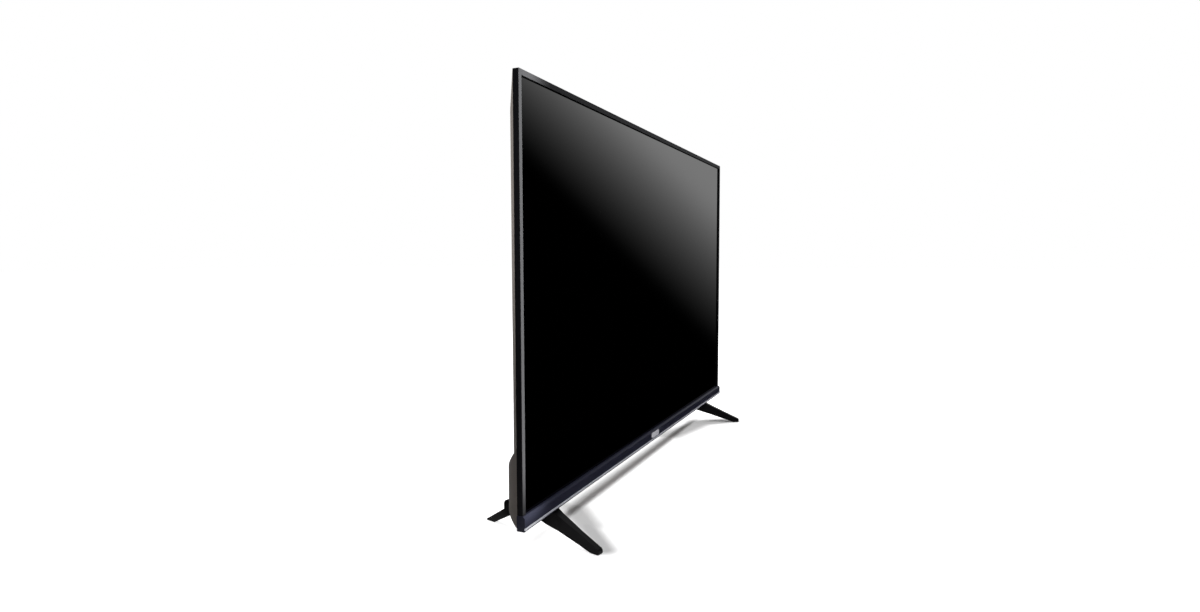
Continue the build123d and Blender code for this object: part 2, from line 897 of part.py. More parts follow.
def cover_screws():
    screws = []
    for x, z in cover_screw_places():
        head = prism(x, z, (slim_depth, slim_depth + cover_screw_head_height), cover_screw_head_radius,
                     head_side_count)
        tip = tray_back - tray_sheet - cover_screw_reach
        shank = prism(x, z, (tip, slim_depth), cover_screw_shank_radius, small_side_count)
        screws.append(head + shank)
    return group(screws)


# The wall bracket posts

def wall_mount_posts():
    mouth = base_depth - wall_mount_recess
    posts = []
    for x, z in wall_mount_places():
        post = prism(x, z, (tray_back, mouth), wall_mount_post_radius, small_side_count)
        hole = (mouth - wall_mount_hole_depth, mouth + overrun)
        posts.append(post - rod(x, z, hole, wall_mount_hole_radius))
    return group(posts)


# The circuit boards and what they carry

main_board_x = (main_board_left, port_wall_x - cover_wall - seat_gap)
power_board_x = (inlet_wall_x + cover_wall + seat_gap, power_board_right)
timing_board_x = (-timing_board_half_width, timing_board_half_width)
board_z = (board_bottom, board_top)
timing_board_z = (board_bottom, board_bottom + timing_board_height)


def board_corners(x, z):
    port_side = port_clear_width if x[1] > port_wall_x - port_clear_width else 0
    return [(px, pz) for px in (x[0] + board_hole_inset, x[1] - board_hole_inset - port_side)
            for pz in (z[0] + board_hole_inset, z[1] - board_hole_inset)]


boards = {"main": (main_board_x, board_z), "power": (power_board_x, board_z),
          "timing": (timing_board_x, timing_board_z)}
all_board_corners = [corner for x, z in boards.values() for corner in board_corners(x, z)]


def circuit_board(name, parts):
    x, z = boards[name]
    body = block(x, (board_front, board_back), z)
    for px, pz, wide, high, tall in parts:
        body += block((px - wide / 2, px + wide / 2), (board_back, board_back + tall),
                      (pz - high / 2, pz + high / 2))
    holes = [prism(cx, cz, (board_front - overrun, board_back + overrun),
                   screw_shank_radius + leg_screw_hole_gap, small_side_count)
             for cx, cz in board_corners(x, z)]
    return body - holes


def board_point(name, shares):
    """A place on a board, as shares of its width and height."""
    x, z = boards[name]
    across, up = shares
    return x[0] + (x[1] - x[0]) * across, z[0] + (z[1] - z[0]) * up


def main_board():
    cx, cz = board_point("main", processor_shares)
    mx, mz = board_point("main", memory_shares)
    tx, tz = board_point("main", tuner_shares)
    return circuit_board("main", [
        (cx, cz, chip_side, chip_side, chip_height),
        (mx, mz, chip_side, chip_side / 2, chip_height),
        (tx, tz, chip_side / 2, chip_side, connector_height)])


def power_board():
    px, pz = board_point("power", power_plug_shares)
    fx, fz = board_point("power", fuse_shares)
    return circuit_board("power", [
        (px, pz, chip_side / 2, chip_side, connector_height),
        (fx, fz, chip_side / 2, chip_side / 2, fuse_height)])


def timing_board():
    cx, cz = board_point("timing", timing_chip_shares)
    rz = board_point("timing", ribbon_socket_shares)[1]
    sockets = [(side * ribbon_x, rz, ribbon_width + 2 * ribbon_thickness, board_hole_inset, chip_height)
               for side in (-1, 1)]
    return circuit_board("timing", [(cx, cz, chip_side / 2, chip_side / 2, chip_height)] + sockets)


def board_standoffs():
    posts = []
    for x, z in all_board_corners:
        post = prism(x, z, (tray_back, board_front), standoff_radius, small_side_count)
        posts.append(post - prism(x, z, (board_back - screw_shank_length - overrun, board_front + overrun),
                                  screw_shank_radius + leg_screw_hole_gap, small_side_count))
    return group(posts)


def board_screws():
    screws = []
    for x, z in all_board_corners:
        head = prism(x, z, (board_back, board_back + screw_head_height), screw_head_radius, small_side_count)
        shank = prism(x, z, (board_back - screw_shank_length, board_back), screw_shank_radius,
                      small_side_count)
        screws.append(head + shank)
    return group(screws)


def finned(x, z, side, foot):
    base = block((x - side / 2, x + side / 2), (foot, foot + heatsink_base), (z - side / 2, z + side / 2))
    fins = []
    for fx in spread(x - side / 2 + heatsink_fin / 2, x + side / 2 - heatsink_fin / 2, heatsink_fin_count):
        fins.append(block((fx - heatsink_fin / 2, fx + heatsink_fin / 2), (foot, foot + heatsink_height),
                          (z - side / 2, z + side / 2)))
    return base + fins


def processor_heatsink():
    x, z = board_point("main", processor_shares)
    return finned(x, z, heatsink_side, board_back + chip_height)


def power_heatsinks():
    """Two bent aluminium plates that stand on the power board."""
    sinks = []
    for shares in power_fin_shares:
        x, z = board_point("power", shares)
        span = (z - heatsink_side / 2, z + heatsink_side / 2)
        shelf = board_back + heatsink_height
        plate = block((x - heatsink_fin, x + heatsink_fin), (board_back, board_back + power_fin_height), span)
        bend = block((x - heatsink_fin, x + power_fin_foot), (shelf, shelf + heatsink_fin), span)
        sinks.append(plate + bend)
    return group(sinks)


def power_transformers():
    """Two ferrite cores with their windings."""
    cores = []
    half = transformer_side / 2
    for shares in transformer_shares:
        x, z = board_point("power", shares)
        core = block((x - half, x + half), (board_back, board_back + transformer_height),
                     (z - half, z + half))
        core = chamfer(core.edges().filter_by(Axis.Y), transformer_edge)
        cores.append(core + block((x - winding_width / 2, x + winding_width / 2),
                                  (board_back, board_back + winding_height),
                                  (z - winding_length / 2, z + winding_length / 2)))
    return group(cores)


def capacitor_cans(places, radius, height):
    return [prism(*board_point("power", shares), (board_back, board_back + height), radius, head_side_count)
            for shares in places]


def power_capacitors():
    return group(capacitor_cans(main_capacitor_shares, main_capacitor_radius, main_capacitor_height)
                 + capacitor_cans(small_capacitor_shares, small_capacitor_radius, small_capacitor_height))


# The sockets in the port recess

port_list = [("antenna", antenna_width, antenna_height), ("jack", jack_width, jack_height),
             ("optical", optical_width, optical_height), ("lan", lan_width, lan_height),
             ("usb", usb_width, usb_height), ("usb", usb_width, usb_height),
             ("hdmi", hdmi_width, hdmi_height), ("hdmi", hdmi_width, hdmi_height),
             ("hdmi", hdmi_width, hdmi_height)]


def port_places():
    """The sockets from the bottom up, each with its lower edge."""
    places = []
    low = board_bottom + port_gap / 2
    for name, width, height in port_list:
        places.append((name, low, width, height))
        low += width + port_gap
    return places


def ports(wanted):
    return [(low, width, height) for name, low, width, height in port_places() if name == wanted]


def socket_block(low, width, height, depth):
    return block((port_wall_x - depth, port_wall_x), (board_back, board_back + height), (low, low + width))


def shell_socket(low, width, height, depth):
    """A pressed metal shell with a contact tongue inside."""
    body = socket_block(low, width, height, depth)
    body -= block((port_wall_x - depth + socket_shell, port_wall_x + overrun),
                  (board_back + socket_shell, board_back + height - socket_shell),
                  (low + socket_shell, low + width - socket_shell))
    mid = board_back + height / 2
    tongue = block((port_wall_x - depth, port_wall_x - socket_tongue),
                   (mid - socket_tongue / 2, mid + socket_tongue / 2),
                   (low + 2 * socket_tongue, low + width - 2 * socket_tongue))
    return body + tongue


def hdmi_sockets():
    return group([shell_socket(low, width, height, hdmi_depth) for low, width, height in ports("hdmi")])


def usb_sockets():
    return group([shell_socket(low, width, height, usb_depth) for low, width, height in ports("usb")])


def lan_mouth():
    low, width, height = ports("lan")[0]
    return ((port_wall_x - lan_depth + lan_wall, port_wall_x + overrun),
            (board_back + lan_wall, board_back + height - lan_wall),
            (low + lan_wall, low + width - lan_wall))


def lan_socket():
    low, width, height = ports("lan")[0]
    return socket_block(low, width, height, lan_depth) - block(*lan_mouth())


def antenna_socket():
    low, width, height = ports("antenna")[0]
    y = board_back + height / 2
    z = low + width / 2
    body = socket_block(low, width, height, antenna_depth)
    body += cross_rod(y, z, (port_wall_x, port_wall_x + antenna_barrel_length), antenna_barrel_radius)
    return body - cross_prism(y, z, (port_wall_x, port_wall_x + antenna_barrel_length + overrun),
                              antenna_bore_radius, small_side_count)


def av_jack():
    low, width, height = ports("jack")[0]
    y = board_back + height / 2
    z = low + width / 2
    bore = (port_wall_x - jack_depth + socket_shell, port_wall_x + overrun)
    return socket_block(low, width, height, jack_depth) - cross_prism(
        y, z, bore, jack_bore_radius, head_side_count)


def optical_box():
    low, width, height = ports("optical")[0]
    return ((board_back + optical_wall, board_back + height - optical_wall),
            (low + optical_wall, low + width - optical_wall))


def shutter_hinge():
    """The shutter's hinge line, as x and z, along Y at the top of the mouth."""
    y, z = optical_box()
    drop = shutter_pin_radius + slide_gap
    return port_wall_x - shutter_set_back - drop, z[1] - drop


def optical_socket():
    low, width, height = ports("optical")[0]
    y, z = optical_box()
    body = socket_block(low, width, height, optical_depth)
    body -= block((port_wall_x - optical_depth + optical_wall, port_wall_x + overrun), y, z)
    hx, hz = shutter_hinge()
    bearing = rod(hx, hz, grown(y, optical_wall / 2), shutter_pin_radius + shutter_pin_gap)
    return body - bearing


def optical_shutter():
    y, z = optical_box()
    hx, hz = shutter_hinge()
    front = hx + shutter_thickness / 2
    flap = block((front - shutter_thickness, front), grown(y, -slide_gap), (z[0] + slide_gap, hz))
    pin = rod(hx, hz, grown(y, optical_wall / 2 - slide_gap), shutter_pin_radius)
    return flap + pin


# The mains inlet

def inlet_y():
    return board_back + inlet_height / 2


def ac_inlet():
    z = middle(inlet_z)
    body = block((inlet_wall_x, inlet_wall_x + inlet_depth), (board_back, board_back + inlet_height),
                 (z - inlet_width / 2, z + inlet_width / 2))
    mouth = Plane.YZ.offset(inlet_wall_x - overrun) * Pos(inlet_y(), z) * Rot(0, 0, 90) * SlotOverall(
        inlet_mouth_length, inlet_mouth_width)
    body -= extrude(mouth, amount=inlet_mouth_depth + overrun)
    root = inlet_wall_x + inlet_mouth_depth
    for side in (-1, 1):
        body -= cross_prism(inlet_y(), z + side * inlet_pin_spacing / 2,
                            (root - overrun, root + inlet_pin_root), inlet_pin_radius, lens_side_count)
    return body


def ac_inlet_pins():
    z = middle(inlet_z)
    root = inlet_wall_x + inlet_mouth_depth
    pins = []
    for side in (-1, 1):
        pin = cross_prism(inlet_y(), z + side * inlet_pin_spacing / 2,
                          (root - inlet_pin_length, root + inlet_pin_root), inlet_pin_radius, lens_side_count)
        pins.append(chamfer(pin.faces().sort_by(Axis.X)[0].edges(), inlet_pin_radius / 2))
    return group(pins)


# The boards and flexes in the chin, and the small modules

flex_count = 12
flex_width = 30.0
flex_thickness = 0.3
flex_drop = 9.0
source_board_height = 9.0
source_board_thickness = 1.2
source_board_gap = 60.0
source_board_end_gap = 52.5
ribbon_width = 18.0
ribbon_bend = 8.0
ribbon_thickness = 0.4


def source_board_x(side):
    return sorted((side * source_board_gap / 2, side * (cell_half - source_board_end_gap)))


flex_front = glass_front + seat_gap
flex_bottom = cell_bottom - flex_drop


def panel_flexes():
    flexes = []
    for side in (-1, 1):
        x = source_board_x(side)
        for at in spread(x[0] + flex_width, x[1] - flex_width, flex_count // 2):
            flexes.append(block((at - flex_width / 2, at + flex_width / 2),
                                (flex_front, flex_front + flex_thickness), (flex_bottom, cell_bottom)))
    return group(flexes)


def source_boards():
    front = flex_front + flex_thickness
    top = flex_bottom + source_board_height / 2
    return group([block(source_board_x(side), (front, front + source_board_thickness),
                        (top - source_board_height, top)) for side in (-1, 1)])


def panel_ribbons():
    start = flex_front + flex_thickness + source_board_thickness
    low = flex_bottom
    top = board_point("timing", ribbon_socket_shares)[1] - board_hole_inset / 2
    rear = board_back + ribbon_thickness / 2
    path = Polyline((start, low), (rear - ribbon_bend, low), (rear, low + ribbon_bend), (rear, top))
    strip = trace(path, ribbon_thickness)
    half = ribbon_width / 2
    return group([along_x(strip, (side * ribbon_x - half, side * ribbon_x + half)) for side in (-1, 1)])


wifi_side = 18.0
wifi_length = 32.0
wifi_thickness = 2.4
wifi_x = -290.0
harness_radius = 2.6
harness_rise = 15.0
harness_bend = 12.0


def wifi_module():
    z = board_bottom + wifi_length
    return block((wifi_x, wifi_x + wifi_side), (tray_back, tray_back + wifi_thickness), (z, z + wifi_length))


def power_harness():
    """The bundle of wires from the power board to the main board."""
    left, z = board_point("power", power_plug_shares)
    right = board_point("main", tuner_shares)[0]
    foot = board_back + connector_height
    top = foot + harness_rise
    path = Polyline((left, foot), (left, top - harness_bend), (left + harness_bend, top),
                    (right - harness_bend, top), (right, top - harness_bend), (right, foot))
    start = Plane(origin=(left, foot, z), z_dir=(0, 1, 0))
    outline = start * RegularPolygon(harness_radius, small_side_count)
    return sweep(outline, path=Pos(0, 0, z) * path, transition=Transition.RIGHT)


# The keys

def key(x):
    outline = Pos(x, key_z) * Rectangle(key_width, key_height)
    tip = base_depth + key_proud
    cap = slab(outline, (key_flange_front, tip))
    cap = chamfer(cap.faces().sort_by(Axis.Y)[-1].edges(), key_edge)
    rim = Pos(x, key_z) * Rectangle(key_width + 2 * key_flange, key_height + 2 * key_flange)
    return cap + slab(rim, (key_flange_front, key_flange_front + key_flange_thickness))


def key_switches():
    switches = []
    for x in key_places:
        body = block((x - switch_side / 2, x + switch_side / 2), (switch_base, switch_base + switch_height),
                     (key_z - switch_side / 2, key_z + switch_side / 2))
        switches.append(body + prism(x, key_z, (switch_base, plunger_tip), switch_plunger_radius,
                                     lens_side_count))
    return group(switches)


def key_board():
    return block(key_board_x, (switch_base - key_board_thickness, switch_base),
                 (key_z - key_board_height / 2, key_z + key_board_height / 2))


# The speakers

speaker_foot = cover_bottom + cover_wall + seat_gap


def cone_places(side):
    return [side * speaker_x + dx for dx in (-speaker_width / 4, speaker_width / 4)]


def speaker_box(side):
    x = (side * speaker_x - speaker_width / 2, side * speaker_x + speaker_width / 2)
    y = (speaker_y, speaker_y + speaker_depth)
    body = block(x, y, (speaker_foot, speaker_foot + speaker_height))
    body = chamfer(body.edges().filter_by(Axis.Z), speaker_corner)
    wells = [upright_prism(cx, middle(y), (speaker_foot - overrun, speaker_foot + cone_depth + cone_wall),
                           cone_radius, head_side_count) for cx in cone_places(side)]
    return body - wells


def speaker_cones():
    """Paper cones on their flat surrounds, open towards the slots below."""
    cones = []
    y = speaker_y + speaker_depth / 2
    rim = cone_radius - seat_gap
    surround = upright_prism(0, 0, (0, cone_wall), rim, head_side_count)
    funnel = extrude(RegularPolygon(rim - cone_rim, head_side_count), amount=cone_depth, taper=cone_draft)
    cone = surround + funnel - Pos(0, 0, -cone_wall) * funnel
    for side in (-1, 1):
        for cx in cone_places(side):
            cones.append(Pos(cx, y, speaker_foot) * cone)
    return group(cones)


# The legs

leg_turn = degrees(atan2(leg_foot_spread, leg_foot_run))
leg_lean = 1 / cos(radians(leg_turn))


def leg_s(y):
    """Distance along the leg of a depth behind the frame's front face."""
    return (y + leg_foot_reach) * leg_lean


def leg_place(side):
    return Pos(side * leg_foot_x, -leg_foot_reach, 0) * Rot(0, 0, side * leg_turn)


def leg_point(side, s, across):
    """The X and Y of a spot given along and across a leg."""
    turn = radians(side * leg_turn)
    x = side * leg_foot_x + across * cos(turn) - s * sin(turn)
    y = -leg_foot_reach + across * sin(turn) + s * cos(turn)
    return x, y


leg_screw_seat = cover_bottom - leg_screw_sink


def leg_screw_hole(x, y, z):
    return upright_prism(x, y, z, leg_screw_shank_radius + leg_screw_hole_gap, small_side_count)


def leg_hub_start():
    return leg_s(frame_depth) + leg_hub_gap + leg_hub_width / 2 * tan(radians(leg_turn))


def leg_screw_s():
    mid = leg_hub_start() + leg_hub_depth / 2
    return [mid - leg_screw_spacing / 2, mid + leg_screw_spacing / 2]


def leg_screw_places(side):
    return [leg_point(side, s, 0) for s in leg_screw_s()]


def leg_side_outline():
    start = leg_hub_start()
    end = start + leg_hub_depth
    under_chin = chin_bottom - leg_hub_gap
    rows = [
        (-leg_nose, leg_sole + leg_nose_rise, leg_nose_radius),
        (-leg_nose, leg_sole, leg_sole_radius),
        (leg_toe_length, leg_sole, 0),
        (leg_arch_s, leg_arch_z, leg_arch_radius),
        (leg_heel_start, leg_sole, 0),
        (leg_heel_end + leg_tail, leg_sole, leg_tail_radius),
        (leg_heel_end + leg_tail, leg_sole + leg_tail_rise, leg_tail_radius),
        (end + leg_ear_length, leg_ear_foot_z, 0),
        (end + leg_ear_length, leg_ear_z, leg_ear_radius),
        (end, leg_ear_z, 0),
        (end, cover_bottom, 0),
        (start, cover_bottom, 0),
        (start, under_chin, 0),
        (start - leg_hub_gap - side_bezel / 2, chin_bottom - leg_neck_drop, 0),
    ]
    return rounded_face(rows)


def leg_plan_outline():
    tip, neck, hub = leg_tip_width / 2, leg_neck_width / 2, leg_hub_width / 2
    start = leg_hub_start()
    end = start + leg_hub_depth
    ends = leg_heel_end + leg_tail + overrun
    right = [(tip, -leg_nose - overrun), (tip, leg_shin_length), (neck, leg_neck_start),
             (hub, start + leg_hub_width / 4), (hub, end - leg_hub_width / 4),
             (neck, end + leg_hub_width / 2), (tip, ends)]
    left = [(-x, s) for x, s in reversed(right)]
    return make_face(Polyline(*right, *left, close=True))


def leg_local():
    side = along_x(leg_side_outline(), (-leg_hub_width, leg_hub_width))
    body = side & extrude(leg_plan_outline(), amount=cover_bottom + overrun)
    for s in leg_screw_s():
        body -= leg_screw_hole(0, s, (0, cover_bottom + overrun))
        body -= upright_prism(0, s, (0, leg_screw_seat), leg_screw_head_radius + leg_screw_hole_gap,
                              head_side_count)
    half = leg_tip_width / 2 - foot_pad_inset + seat_gap
    for span in pad_spans():
        body -= block((-half, half), grown(span, seat_gap), (-overrun, foot_pad_thickness))
    return body


def leg(side):
    return leg_place(side) * leg_local()


def pad_spans():
    return [(-leg_nose / 2, leg_toe_length - foot_pad_inset),
            (leg_heel_start + foot_pad_inset, leg_heel_end - foot_pad_inset)]


def foot_pads():
    half = leg_tip_width / 2 - foot_pad_inset
    return group([leg_place(side) * block((-half, half), span, (0, foot_pad_thickness))
                  for side in (-1, 1) for span in pad_spans()])


def leg_screws():
    screws = []
    top = cover_bottom + cover_wall + bracket_thickness + leg_screw_shank_above
    for side in (-1, 1):
        for x, y in leg_screw_places(side):
            head = upright_prism(x, y, (leg_screw_seat - leg_screw_head_height, leg_screw_seat),
                                 leg_screw_head_radius, head_side_count)
            shank = upright_prism(x, y, (leg_screw_seat, top), leg_screw_shank_radius, small_side_count)
            screws.append(head + shank)
    return group(screws)


def leg_s_to_y(s):
    return s / leg_lean - leg_foot_reach


def stand_brackets():
    """Bent steel plates on the tray, with a shelf inside the cover that takes the leg screws."""
    plates = []
    foot = cover_bottom + cover_wall + seat_gap
    first, last = [leg_s_to_y(s) for s in leg_screw_s()]
    for side in (-1, 1):
        x = leg_point(side, leg_s(base_depth / 2), 0)[0]
        span = (x - bracket_half_width, x + bracket_half_width)
        upright = block(span, (tray_back, tray_back + bracket_thickness), (foot, foot + bracket_height))
        shelf = block(span, (first - bracket_edge, last + bracket_edge), (foot, foot + bracket_thickness))
        holes = [leg_screw_hole(px, py, (foot - overrun, foot + bracket_thickness + overrun))
                 for px, py in leg_screw_places(side)]
        plates.append(upright + shelf - holes)
    return group(plates)


# All nodes by name

key_names = ["key_power", "key_source", "key_menu", "key_channel", "key_volume_up", "key_volume_down"]
nodes = {
    "bezel_frame": bezel_frame(),
    "chin_bar": chin_bar(),
    "chin_strip": chin_strip(),
    "sensor_window": sensor_window(),
    "sensor_board": sensor_board(),
    "panel_gasket": panel_gasket(),
    "lcd_cell": lcd_cell(),
    "panel_frame": panel_frame(),
    "prism_sheet": film(shelf_back, film_thickness),
    "diffuser_film": film(shelf_back + film_thickness, film_thickness),
    "diffuser_plate": film(diffuser_front, diffuser_thickness),
    "reflector_sheet": reflector_sheet(),
    "diffuser_posts": diffuser_posts(),
    "led_strips": led_strips(),
    "led_lenses": led_lenses(),
    "backlight_tray": backlight_tray(),
    "panel_flexes": panel_flexes(),
    "source_boards": source_boards(),
    "panel_ribbons": panel_ribbons(),
    "timing_board": timing_board(),
    "main_board": main_board(),
    "power_board": power_board(),
    "board_standoffs": board_standoffs(),
    "board_screws": board_screws(),
    "processor_heatsink": processor_heatsink(),
    "power_heatsinks": power_heatsinks(),
    "power_transformers": power_transformers(),
    "power_capacitors": power_capacitors(),
    "power_harness": power_harness(),
    "wifi_module": wifi_module(),
    "hdmi_sockets": hdmi_sockets(),
    "usb_sockets": usb_sockets(),
    "lan_socket": lan_socket(),
    "antenna_socket": antenna_socket(),
    "av_jack": av_jack(),
    "optical_socket": optical_socket(),
    "optical_shutter": optical_shutter(),
    "ac_inlet": ac_inlet(),
    "ac_inlet_pins": ac_inlet_pins(),
    "key_board": key_board(),
    "key_switches": key_switches(),
    "speaker_left": speaker_box(-1),
    "speaker_right": speaker_box(1),
    "speaker_cones": speaker_cones(),
    "rear_cover": rear_cover(),
    "cover_screws": cover_screws(),
    "wall_mount_posts": wall_mount_posts(),
    "stand_brackets": stand_brackets(),
    "leg_left": leg(-1),
    "leg_right": leg(1),
    "foot_pads": foot_pads(),
    "leg_screws": leg_screws(),
}
for name, x in zip(key_names, key_places):
    nodes[name] = key(x)

footprint = (nodes["leg_left"] + nodes["leg_right"]).bounding_box()
to_origin = Pos(0, -middle((footprint.min.Y, footprint.max.Y)), 0)
os.makedirs("parts", exist_ok=True)
for name, shape in nodes.items():
    export_step(to_origin * shape, f"parts/{name}.step")
print("moved back by", round(middle((footprint.min.Y, footprint.max.Y)), 4), "nodes", len(nodes))
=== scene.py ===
# %% [markdown]
# # A flat screen television on two angled legs
# The CAD model comes in first, as a frame that stays where it is. Each step below dresses one part of it:
# first the finishes, then the pieces that are too fine for the CAD model, then the light and the camera.

# %% Start from the CAD frame
import math
import bmesh
import bpy
from mathutils import Matrix, Vector


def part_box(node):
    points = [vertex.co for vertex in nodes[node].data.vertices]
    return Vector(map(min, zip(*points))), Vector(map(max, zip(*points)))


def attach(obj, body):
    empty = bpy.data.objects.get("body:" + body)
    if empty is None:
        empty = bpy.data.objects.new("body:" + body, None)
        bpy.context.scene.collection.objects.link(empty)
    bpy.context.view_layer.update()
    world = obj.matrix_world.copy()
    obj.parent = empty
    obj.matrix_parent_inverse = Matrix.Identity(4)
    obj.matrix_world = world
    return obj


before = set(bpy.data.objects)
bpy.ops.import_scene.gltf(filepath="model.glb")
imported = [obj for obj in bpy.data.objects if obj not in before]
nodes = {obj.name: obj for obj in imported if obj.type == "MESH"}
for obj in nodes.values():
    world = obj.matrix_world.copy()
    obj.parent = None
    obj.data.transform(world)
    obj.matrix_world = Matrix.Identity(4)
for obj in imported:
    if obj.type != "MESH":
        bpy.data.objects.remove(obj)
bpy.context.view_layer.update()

# %% [markdown]
# ## A plain finish
# A Principled shader covers every finish here. A value that is the same all over a piece goes straight on the
# shader's own socket, because that is what other programs can read from the exported model.

# %% Finish and paint helpers
def finish(name, colour, roughness=0.5, metallic=0.0, **sockets):
    """A new material with its plain values on the shader itself."""
    material = bpy.data.materials.new(name)
    material.use_nodes = True
    shader = material.node_tree.nodes["Principled BSDF"]
    shader.inputs["Base Color"].default_value = (*colour, 1.0)
    shader.inputs["Roughness"].default_value = roughness
    shader.inputs["Metallic"].default_value = metallic
    for socket, value in sockets.items():
        shader.inputs[socket.replace("_", " ")].default_value = value
    return material


def paint(material, *names):
    """Gives the CAD nodes of these names one material."""
    for name in names:
        slots = nodes[name].data.materials
        slots.clear()
        slots.append(material)
    print(material.name, "on", ", ".join(names))

# %% [markdown]
# ## Grain and small changes over a surface
# A real moulding is never quite even. An image could carry its grain, but noise on Object coordinates needs
# no image, stays on the surface when a piece moves, and can be stretched along one axis for a brushed look.
# Here it drives a fine bump, and further down a roughness and a colour as well.

# %% Grain helpers
def noise_on(material, scale, stretch=(1.0, 1.0, 1.0)):
    """Noise that follows the surface, stretched along an axis for a brushed look."""
    noise_detail = 3.0
    tree = material.node_tree
    place = tree.nodes.new("ShaderNodeTexCoord")
    turn = tree.nodes.new("ShaderNodeMapping")
    turn.inputs["Scale"].default_value = stretch
    grain = tree.nodes.new("ShaderNodeTexNoise")
    grain.inputs["Scale"].default_value = scale
    grain.inputs["Detail"].default_value = noise_detail
    tree.links.new(place.outputs["Object"], turn.inputs["Vector"])
    tree.links.new(turn.outputs["Vector"], grain.inputs["Vector"])
    return grain


def add_grain(material, scale, strength, distance=0.0002, stretch=(1.0, 1.0, 1.0)):
    """A fine bump, as on moulded or brushed surfaces."""
    tree = material.node_tree
    grain = noise_on(material, scale, stretch)
    bump = tree.nodes.new("ShaderNodeBump")
    bump.inputs["Strength"].default_value = strength
    bump.inputs["Distance"].default_value = distance
    tree.links.new(grain.outputs["Fac"], bump.inputs["Height"])
    tree.links.new(bump.outputs["Normal"], tree.nodes["Principled BSDF"].inputs["Normal"])
    return material

# %% [markdown]
# ## The frame, the chin and its strip
# The frame is a dark satin moulding, and the chin is a glossier one with a blue cast. The strip along the
# chin is silver, brushed along its length. Low specular levels keep the white room out of the dark parts.

# %% Frame, chin and strip
frame_satin = finish("frame_satin", (0.0085, 0.0085, 0.0102), 0.5, Specular_IOR_Level=0.05)
add_grain(frame_satin, 900.0, 0.02)
chin_gloss = finish("chin_gloss", (0.021, 0.022, 0.038), 0.3, Specular_IOR_Level=0.2)
brushed_along = (0.05, 1.0, 1.0)
strip_silver = finish("strip_silver", (0.66, 0.67, 0.75), 0.38, 0.3)
add_grain(strip_silver, 700.0, 0.12, stretch=brushed_along)
paint(frame_satin, "bezel_frame")
paint(chin_gloss, "chin_bar")
paint(strip_silver, "chin_strip")

# %% [markdown]
# ## The glass
# The screen is off, so the glass has no colour of its own. All that it shows is reflection, which comes from
# the shader and the light. Its roughness changes very little, as on wiped glass.

# %% Glass
def vary_gloss(material, scale, low, high):
    """Roughness that wanders a little over the surface, between low and high."""
    tree = material.node_tree
    grain = noise_on(material, scale)
    spread = tree.nodes.new("ShaderNodeMapRange")
    spread.inputs["To Min"].default_value = low
    spread.inputs["To Max"].default_value = high
    tree.links.new(grain.outputs["Fac"], spread.inputs["Value"])
    tree.links.new(spread.outputs["Result"], tree.nodes["Principled BSDF"].inputs["Roughness"])
    return material


glass_black = finish("glass_black", (0.0, 0.0, 0.0), 0.05, IOR=1.5)
vary_gloss(glass_black, 6.0, 0.04, 0.06)
paint(glass_black, "lcd_cell")

# %% [markdown]
# ## The back cover
# The cover is a moulded taupe plastic with a fine grain. It could have one flat colour, but a wall of this
# size would look like paper, so its shade wanders a little.

# %% Cover
def vary_colour(material, scale, dark, light):
    """Base colour that wanders between two near shades."""
    tree = material.node_tree
    grain = noise_on(material, scale)
    ramp = tree.nodes.new("ShaderNodeValToRGB")
    ramp.color_ramp.elements[0].color = (*dark, 1.0)
    ramp.color_ramp.elements[1].color = (*light, 1.0)
    tree.links.new(grain.outputs["Fac"], ramp.inputs["Fac"])
    tree.links.new(ramp.outputs["Color"], tree.nodes["Principled BSDF"].inputs["Base Color"])
    return material


taupe = (0.178, 0.158, 0.145)
taupe_spread = 0.06
cover_plastic = finish("cover_plastic", taupe, 0.7, Specular_IOR_Level=0.02)
darker = [part * (1 - taupe_spread) for part in taupe]
lighter = [part * (1 + taupe_spread) for part in taupe]
vary_colour(cover_plastic, 3.0, darker, lighter)
add_grain(cover_plastic, 1100.0, 0.25, 0.0003)
paint(cover_plastic, "rear_cover")

# %% [markdown]
# ## The legs and their pads
# The legs are castings with a smooth black paint, and their pads are dull rubber. The paint has so little
# grain that it only breaks up the highlights, while the rubber is rough all over.

# %% Legs and pads
leg_black = finish("leg_black", (0.009, 0.0086, 0.0095), 0.3, Specular_IOR_Level=0.045)
add_grain(leg_black, 260.0, 0.02)
pad_rubber = add_grain(finish("pad_rubber", (0.02, 0.02, 0.02), 0.85), 900.0, 0.3)
paint(leg_black, "leg_left", "leg_right")
paint(pad_rubber, "foot_pads")

# %% [markdown]
# ## Metal pieces
# Most of the pieces inside are hidden by the covers, but they are seen through the louvres and the port
# recess, or when someone takes the set apart. Sheet metal is zinc plated, sockets are pressed steel, heat
# sinks are bright aluminium, and pins and standoffs are brass. Plating has an uneven gloss, and a stretched
# grain stands for the lines that rolling leaves.

# %% Metals
zinc = vary_gloss(finish("zinc_sheet", (0.62, 0.63, 0.65), 0.35, 1.0), 40.0, 0.28, 0.45)
socket_steel = finish("socket_steel", (0.72, 0.72, 0.73), 0.28, 1.0)
add_grain(socket_steel, 600.0, 0.08, stretch=(0.1, 1.0, 1.0))
screw_steel = vary_gloss(finish("screw_steel", (0.12, 0.12, 0.13), 0.35, 1.0), 300.0, 0.3, 0.45)
aluminium = finish("aluminium", (0.75, 0.76, 0.77), 0.3, 1.0)
add_grain(aluminium, 500.0, 0.1, stretch=(1.0, 1.0, 0.05))
brass = vary_gloss(finish("brass", (0.72, 0.55, 0.24), 0.3, 1.0), 200.0, 0.22, 0.36)
can_silver = add_grain(finish("can_silver", (0.55, 0.56, 0.6), 0.3, 0.9), 500.0, 0.08)
paint(zinc, "backlight_tray", "stand_brackets", "wifi_module")
paint(socket_steel, "hdmi_sockets", "usb_sockets", "antenna_socket", "wall_mount_posts")
paint(screw_steel, "cover_screws", "leg_screws", "board_screws")
paint(aluminium, "processor_heatsink", "power_heatsinks")
